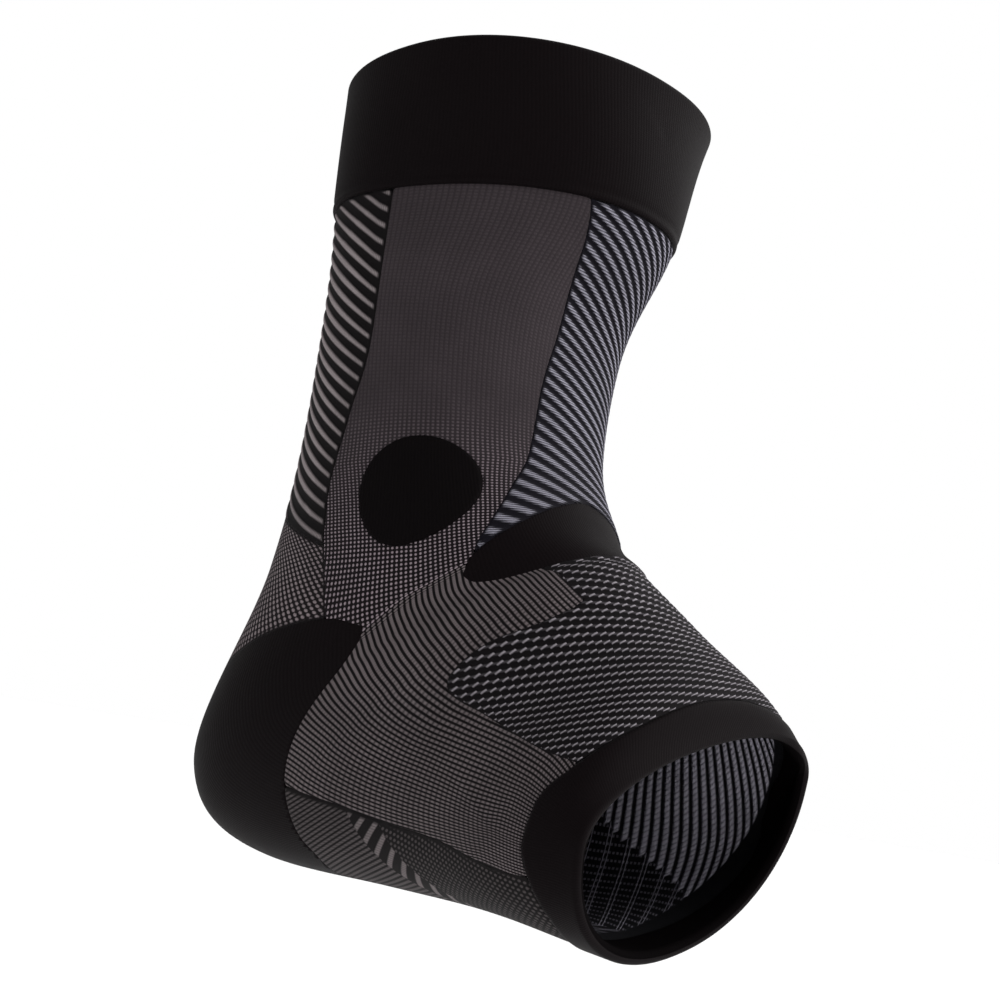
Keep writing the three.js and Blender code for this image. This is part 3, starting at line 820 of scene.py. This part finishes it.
BLACK = (0.003, 0.0019, 0.0022)
smooth_knit = knit_material("smooth_knit", smooth_pattern, BLACK, (0.0065, 0.0046, 0.0052), 0.035,
                            roughness=0.6, sheen=0.02, gloss=0.025)
# The inner faces of both cuffs: the cuffs' black yarn darkened further as painted shade inside the
# sleeve's openings, with less gloss
painted_shade_welt_knit = knit_material("painted_shade_welt_knit", smooth_pattern, (0.001, 0.0007, 0.0008),
                          (0.002, 0.0014, 0.0016), 0.03, roughness=0.8, gloss=0.01)
pad_knit = knit_material("pad_knit", smooth_pattern, (0.0022, 0.0016, 0.0018),
                         (0.0048, 0.0036, 0.004), 0.06, gloss=0.04)
mesh_knit = knit_material("mesh_knit", mesh_pattern, (0.006, 0.0043, 0.0052), (0.29, 0.235, 0.26), 0.2)
column_knit = knit_material("column_knit", column_pattern, (0.006, 0.0045, 0.005),
                            (0.23, 0.19, 0.2), 0.25)
rope_knit = knit_material("rope_knit", rope_pattern, (0.004, 0.0033, 0.006), (0.29, 0.28, 0.335), 0.4)
stripe_knit = knit_material("stripe_knit", stripe_pattern, (0.003, 0.002, 0.0024),
                            (0.26, 0.225, 0.23), 0.15)
rib_knit = knit_material("rib_knit", rib_pattern, (0.003, 0.002, 0.0024), (0.155, 0.13, 0.135), 0.2)
dash_knit = knit_material("dash_knit", dash_pattern, (0.0032, 0.0022, 0.0028), (0.4, 0.365, 0.4), 0.3)
sole_knit = knit_material("sole_knit", sole_pattern, (0.004, 0.003, 0.0033),
                          (0.165, 0.142, 0.145), 0.3)
# Inside faces of the panels: the light yarn is partly its own colour and partly raised as painted
# light, to make up for the shade inside the sleeve
inner_knit = knit_material("inner_knit", inner_pattern, (0.002, 0.002, 0.003), (0.42, 0.4, 0.47), 0.8)


# Pieces

def spaced(start, end, pitch):
    """Places from start to end, about a pitch apart."""
    return np.linspace(start, end, max(2, int(round(abs(end - start) / pitch)) + 1))


def plain_place(rows, cols):
    return rows, cols


def round_edge(here, height, radius):
    """A raised zone that rounds down over its hem."""
    d = np.clip(here["edge"] / radius, 0, 1)
    return height - radius * (1 - np.sqrt(1 - (1 - d) ** 2))


def counted(spots, pitches):
    """How many pitches lie before each spot, where the pitch changes as [place, pitch] rows say."""
    steps = np.diff(spots) / np.interp(spots[1:], *np.array(pitches).T)
    return np.concatenate([[0], np.cumsum(steps)])


def diagonal_rows(line, pitches, slopes, bend, alongs, arounds, per_row):
    """Row numbers, and how they and millimetres around turn into (along, around).
    pitches and slopes are [run, value] rows on one line of the sleeve; bend steepens a row by its
    distance from that line."""
    places, lengths = run_lengths(line)
    runs = np.linspace(-150, lengths[-1] + 150, 1600)
    numbers = counted(runs, pitches)

    def shift(start, girth):
        beyond = girth - line * HALF_GIRTH
        return np.interp(start, *np.array(slopes).T) * beyond + bend * beyond ** 2

    def place(rows, cols):
        start = np.interp(rows, numbers, runs)
        wanted = start - shift(start, cols)
        along = np.interp(wanted, lengths, places)
        past_end = (np.minimum(wanted, 0) + np.maximum(wanted - lengths[-1], 0)) / LAYOUT_RUN
        return along + past_end, cols / HALF_GIRTH

    ends = np.interp(alongs, places, lengths)
    starts = [run + shift(run, girth * HALF_GIRTH) for run in ends for girth in (*arounds, line, 0)]
    first, last = np.interp([min(starts) - 8, max(starts) + 8], runs, numbers)
    return spaced(first, last, 1 / per_row), place


def bumpy(here, width, height):
    """A round rib on every row, that flattens at the zone's edge."""
    x = np.abs(here["u"] - np.floor(here["u"]) - 0.5)
    return height * np.sqrt(np.clip(1 - (x / width) ** 2, 0, 1)) * np.clip(here["edge"] / 0.6, 0, 1)


# Rows across the cuffs, in millimetres from the rim and then as shares along, closer at the ends
TOP_CUFF_RUN = 280
TOE_CUFF_RUN = 220
CREASE_PLACE = 2.4  # the crease beside the top cuff's hem, as the next two, in millimetres
CREASE_WIDTH = 0.7
CREASE_DEPTH = 0.22
TOP_SWELL = 30  # millimetres from the hem over which the top cuff gets flatter
FINE_PITCH = 0.8 / HALF_GIRTH  # grid pitches around, for fine knits and for plain ones
PLAIN_PITCH = 1.2 / HALF_GIRTH
top_rows = np.concatenate([[0, 0.05, 0.15, 0.3, 0.5, 0.75, 1.0, 1.3], np.arange(2, 33, 0.9),
                           np.arange(33, 37.5, 0.25)]) / TOP_CUFF_RUN
toe_rows = np.concatenate([np.arange(0.75, 0.995, 0.0035),
                           1 - np.array([1.3, 1.0, 0.75, 0.5, 0.3, 0.15, 0.05, 0]) / TOE_CUFF_RUN])


def top_cuff_relief(here):
    """A thick welt with a shallow crease beside its hem."""
    crease = np.exp(-((here["edge"] - CREASE_PLACE) / CREASE_WIDTH) ** 2) * CREASE_DEPTH
    swell = 0.5 + 0.5 * np.clip(1 - here["edge"] / TOP_SWELL, 0, 1)
    return round_edge(here, 1.0, 1.0) * swell - crease


def toe_cuff_relief(here):
    return round_edge(here, 0.6, 0.8)


def pad_relief(here):
    return round_edge(here, 0.5, 0.6)


make_piece("top_cuff", top_rows, spaced(-1, 1, PLAIN_PITCH), plain_place,
           CUFF_THICKNESS, [smooth_knit, painted_shade_welt_knit], top_cuff_relief, rim=0)
make_piece("toe_cuff", toe_rows, spaced(-1, 1, PLAIN_PITCH), plain_place,
           CUFF_THICKNESS, [smooth_knit, painted_shade_welt_knit], toe_cuff_relief, rim=1)

# Course pitch in millimetres, and wales per millimetre, of the side panels at places of the run
COURSE_PITCH = [[0, 0.85], [95, 0.85], [125, 0.8], [200, 0.8]]
WALE_COUNTS = [[0, 0.81], [105, 0.81], [120, 0.95], [145, 1.3], [200, 1.3]]
WALE_CENTRE = 42  # the girth from which the wales spread
COURSE_TILT = 0.2  # courses per millimetre around, behind the centre line and low on the ankle
TILT_RUN = (100, 25)  # the run where the tilt begins, and over which it grows

# The bright strip of the sole: its distance is measured across a slanted line
SOLE_LINE = 0.75
STRIP_SLOPE = 1.38
STRIP_START = 128.5


def mesh_marks(here):
    """Counts the courses into mark and the wales into groove; the panel itself is flat."""
    run = np.interp(here["along"], *run_lengths(LAY_LINE))
    spots = np.linspace(0, 200, 401)
    beyond = fold(here["around"]) * HALF_GIRTH - WALE_CENTRE
    low = np.clip((run - TILT_RUN[0]) / TILT_RUN[1], 0, 1)
    tilt = COURSE_TILT * np.maximum(beyond - 4, 0) * low
    here["mark"] = np.interp(run, spots, counted(spots, COURSE_PITCH)) + tilt
    here["groove"] = beyond * np.interp(run, *np.array(WALE_COUNTS).T)
    return flat_relief(here)


def sole_marks(here):
    """The strip's distance goes into mark, the one to the arch into groove; the panel is flat."""
    run = np.interp(here["along"], *run_lengths(SOLE_LINE))
    level = fold(here["around"]) * HALF_GIRTH
    here["mark"] = (run - STRIP_SLOPE * level - STRIP_START) / math.hypot(1, STRIP_SLOPE)
    here["groove"] = to_curve(here, SOLE_EDGE)
    return flat_relief(here)


# How the arch wales wander: their shift around at places along, near the front, middle and sole
ARCH_PITCH = 0.98  # between wales, in millimetres
ARCH_LEVELS = [0.2, 0.45, 0.6]
ARCH_WANDER = [
    [0.50, 0.0, -0.001, 0.0], [0.56, 0.0, -0.001, 0.0], [0.60, -0.001, -0.002, 0.0],
    [0.64, -0.012, -0.008, -0.006], [0.68, -0.021, -0.0125, -0.01], [0.72, -0.0245, -0.004, -0.0075],
    [0.74, -0.022, 0.009, 0.0055], [0.76, -0.018, 0.022, 0.021], [0.78, -0.013, 0.0275, 0.03],
    [0.80, -0.013, 0.0185, 0.0255], [0.82, -0.022, -0.0015, 0.0065], [0.84, -0.038, -0.0245, -0.024],
    [0.86, -0.052, -0.043, -0.057], [0.88, -0.061, -0.053, -0.08], [0.92, -0.064, -0.057, -0.086],
    [1.00, -0.064, -0.057, -0.086],
]


def arch_drift(along, level):
    """How far the wales are shifted around at each place along and level around."""
    smooth = np.array(smooth_edge(ARCH_WANDER, 6))
    front, middle, sole = (np.interp(along, smooth[:, 0], smooth[:, i]) for i in (1, 2, 3))
    low, mid, high = ARCH_LEVELS
    t = np.clip((level - low) / (mid - low), 0, 1)
    u = np.clip((level - mid) / (high - mid), 0, 1)
    return front + (middle - front) * t + (sole - middle) * u


for label, side in (("lateral", 1), ("medial", -1)):
    def mirrored(rows, cols, side=side):
        return rows, side * cols

    def arch_place(rows, cols, side=side):
        level = rows * ARCH_PITCH / HALF_GIRTH
        return cols, side * (level + arch_drift(cols, level))

    pad = make_piece(f"ankle_pad_{label}", spaced(0.32, 0.52, 0.0018),
                     spaced(0.22, 0.52, 0.7 / HALF_GIRTH), mirrored, PAD_THICKNESS,
                     [pad_knit, inner_knit], pad_relief, side=side)
    make_piece(f"side_panel_{label}", spaced(HEM - 0.01, 0.62, 0.0028), spaced(0.05, 0.62, FINE_PITCH),
               mirrored, KNIT_THICKNESS, [mesh_knit, inner_knit], mesh_marks, side=side)
    make_piece(f"arch_panel_{label}",
               spaced(0.12 * HALF_GIRTH / ARCH_PITCH, 0.75 * HALF_GIRTH / ARCH_PITCH, 0.9),
               spaced(0.53, 0.99, 0.003), arch_place, KNIT_THICKNESS,
               [rib_knit, inner_knit], side=side)

make_piece("ankle_band", spaced(0.39, 0.64, 0.003), spaced(-0.33, 0.33, FINE_PITCH), plain_place,
           KNIT_THICKNESS, [smooth_knit, inner_knit])
make_piece("heel_cup", spaced(0.5, 0.8, 0.003), spaced(0.4, 1.6, PLAIN_PITCH), plain_place,
           HEEL_THICKNESS, [smooth_knit, inner_knit])
make_piece("heel_back_panel", spaced(0.37, 0.6, 0.0022), spaced(0.44, 1.56, FINE_PITCH), plain_place,
           KNIT_THICKNESS, [column_knit, inner_knit])

# Row pitches and slopes as [run in millimetres, value]. Grids reach a little past their zones.
ROPE_PITCHES = [[30, 2.55], [45, 2.6], [60, 2.95], [85, 3.3], [110, 4.2]]
ROPE_SLOPES = [[45, 0.47], [60, 0.46], [85, 0.41], [110, 0.395]]
rows, place = diagonal_rows(0.2, ROPE_PITCHES, ROPE_SLOPES, 0, (HEM, 0.56), (-0.3, 0.3), 7)
make_piece("front_leg_panel", rows, spaced(-0.3 * HALF_GIRTH, 0.3 * HALF_GIRTH, 0.6), place,
           KNIT_THICKNESS, [rope_knit, inner_knit],
           lambda here: bumpy(here, 0.42, 0.5))

STRIPE_PITCHES = [[0, 4.1], [130, 4.1]]
STRIPE_SLOPES = [[36, 0.55], [75, 0.57], [90, 0.68], [103, 0.71], [120, 0.7]]
rows, place = diagonal_rows(0.6, STRIPE_PITCHES, STRIPE_SLOPES, 0, (HEM, 0.48), (0.44, 1.56), 8)
make_piece("achilles_panel", rows, spaced(0.44 * HALF_GIRTH, 1.56 * HALF_GIRTH, 1.0), place,
           KNIT_THICKNESS, [stripe_knit, inner_knit],
           lambda here: bumpy(here, 0.24, 0.3))

DASH_PITCHES = [[145, 3.4], [166, 3.3], [175, 2.9], [183, 2.4], [189, 1.95], [206, 1.8]]
DASH_SLOPES = [[150, 0.69], [166, 0.6], [184, 0.5], [200, 0.48]]
DASH_BEND = 0.009
rows, place = diagonal_rows(0.2, DASH_PITCHES, DASH_SLOPES, DASH_BEND, (0.56, 1.0), (-0.48, 0.48), 5)
make_piece("instep_panel", rows, spaced(-0.48 * HALF_GIRTH, 0.48 * HALF_GIRTH, 0.7), place,
           KNIT_THICKNESS, [dash_knit, inner_knit],
           lambda here: bumpy(here, 0.3, 0.2))

SOLE_PITCHES = [[200, 2.2], [330, 2.2]]
SOLE_SLOPES = [[200, 0.84], [330, 0.84]]
rows, place = diagonal_rows(SOLE_LINE, SOLE_PITCHES, SOLE_SLOPES, 0, (0.7, 1.0), (0.5, 1.5), 2)
make_piece("sole_panel", rows, spaced(0.5 * HALF_GIRTH, 1.5 * HALF_GIRTH, 1.0), place,
           KNIT_THICKNESS, [sole_knit, inner_knit], sole_marks)


# Camera, floor and light

CAMERA_AZIMUTH = 40.5
CAMERA_ELEVATION = -8.5
CAMERA_ROLL = 9.4
CAMERA_DISTANCE = 450
CAMERA_AIM = (17.0, 0.0, 19.9)
PIXELS_PER_MM = 3.89
PICTURE_WIDTH = 1000
SENSOR_WIDTH = 36
FLOOR_DROP = 150  # the worn sleeve is held up by the ankle
FLOOR_HALF = 20  # metres
FLOOR_COLOR = (0.95, 0.95, 0.95, 1)


def direction(azimuth, elevation):
    """Unit vector towards an azimuth and an elevation in degrees. Azimuth 0 is -Y and 90 is +X."""
    a, e = math.radians(azimuth), math.radians(elevation)
    return Vector((math.sin(a) * math.cos(e), -math.cos(a) * math.cos(e), math.sin(e)))


def add_camera():
    a, r = math.radians(CAMERA_AZIMUTH), math.radians(CAMERA_ROLL)
    back = direction(CAMERA_AZIMUTH, CAMERA_ELEVATION)
    level = Vector((math.cos(a), math.sin(a), 0))
    up = back.cross(level)
    right = level * math.cos(r) + up * math.sin(r)
    up = back.cross(right)
    data = bpy.data.cameras.new("camera")
    data.sensor_width = SENSOR_WIDTH
    data.lens = PIXELS_PER_MM * CAMERA_DISTANCE * SENSOR_WIDTH / PICTURE_WIDTH
    data.clip_start = 0.01
    camera = bpy.data.objects.new("camera", data)
    turn = Matrix((right, up, back)).transposed().to_4x4()
    camera.matrix_world = Matrix.Translation((Vector(CAMERA_AIM) + back * CAMERA_DISTANCE) * MM) @ turn
    bpy.context.scene.collection.objects.link(camera)
    bpy.context.scene.camera = camera


def add_floor():
    mesh = bpy.data.meshes.new("floor")
    half, low = FLOOR_HALF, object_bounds()[0].z - FLOOR_DROP * MM
    corners = [(-half, -half, low), (half, -half, low), (half, half, low), (-half, half, low)]
    mesh.from_pydata(corners, [], [(0, 1, 2, 3)])
    floor = bpy.data.objects.new("floor", mesh)
    material = bpy.data.materials.new("pale_floor")
    material.use_nodes = True
    shader = material.node_tree.nodes["Principled BSDF"]
    shader.inputs["Base Color"].default_value = FLOOR_COLOR
    shader.inputs["Roughness"].default_value = 0.9
    mesh.materials.append(material)
    bpy.context.scene.collection.objects.link(floor)


# Soft lights as azimuth, elevation, strength and sharpness
SOFT_LIGHTS = [(130, 25, 3.9, 3), (-60, 10, 0.3, 3)]
AMBIENT = 0.36


def add_studio():
    """A white studio: even light from all round, stronger from a wide soft light on either side."""
    world = bpy.data.worlds.new("studio")
    world.use_nodes = True
    tree = world.node_tree
    where = tree.nodes.new("ShaderNodeTexCoord")
    light = None
    for azimuth, elevation, strength, sharpness in SOFT_LIGHTS:
        towards = tree.nodes.new("ShaderNodeVectorMath")
        towards.operation = "DOT_PRODUCT"
        towards.inputs[1].default_value = direction(azimuth, elevation)
        tree.links.new(where.outputs["Generated"], towards.inputs[0])
        lobe = Field(tree, towards.outputs["Value"]).most(0).power(sharpness) * strength
        light = lobe + (AMBIENT if light is None else light)
    seen = Field(tree, tree.nodes.new("ShaderNodeLightPath").outputs["Is Camera Ray"])
    strength = light + (light * -1 + 1) * seen
    background = tree.nodes["Background"]
    background.inputs["Color"].default_value = (1, 1, 1, 1)
    tree.links.new(strength.socket, background.inputs["Strength"])
    bpy.context.scene.world = world
    bpy.context.scene.view_settings.view_transform = "Standard"


add_camera()
add_floor()
add_studio()
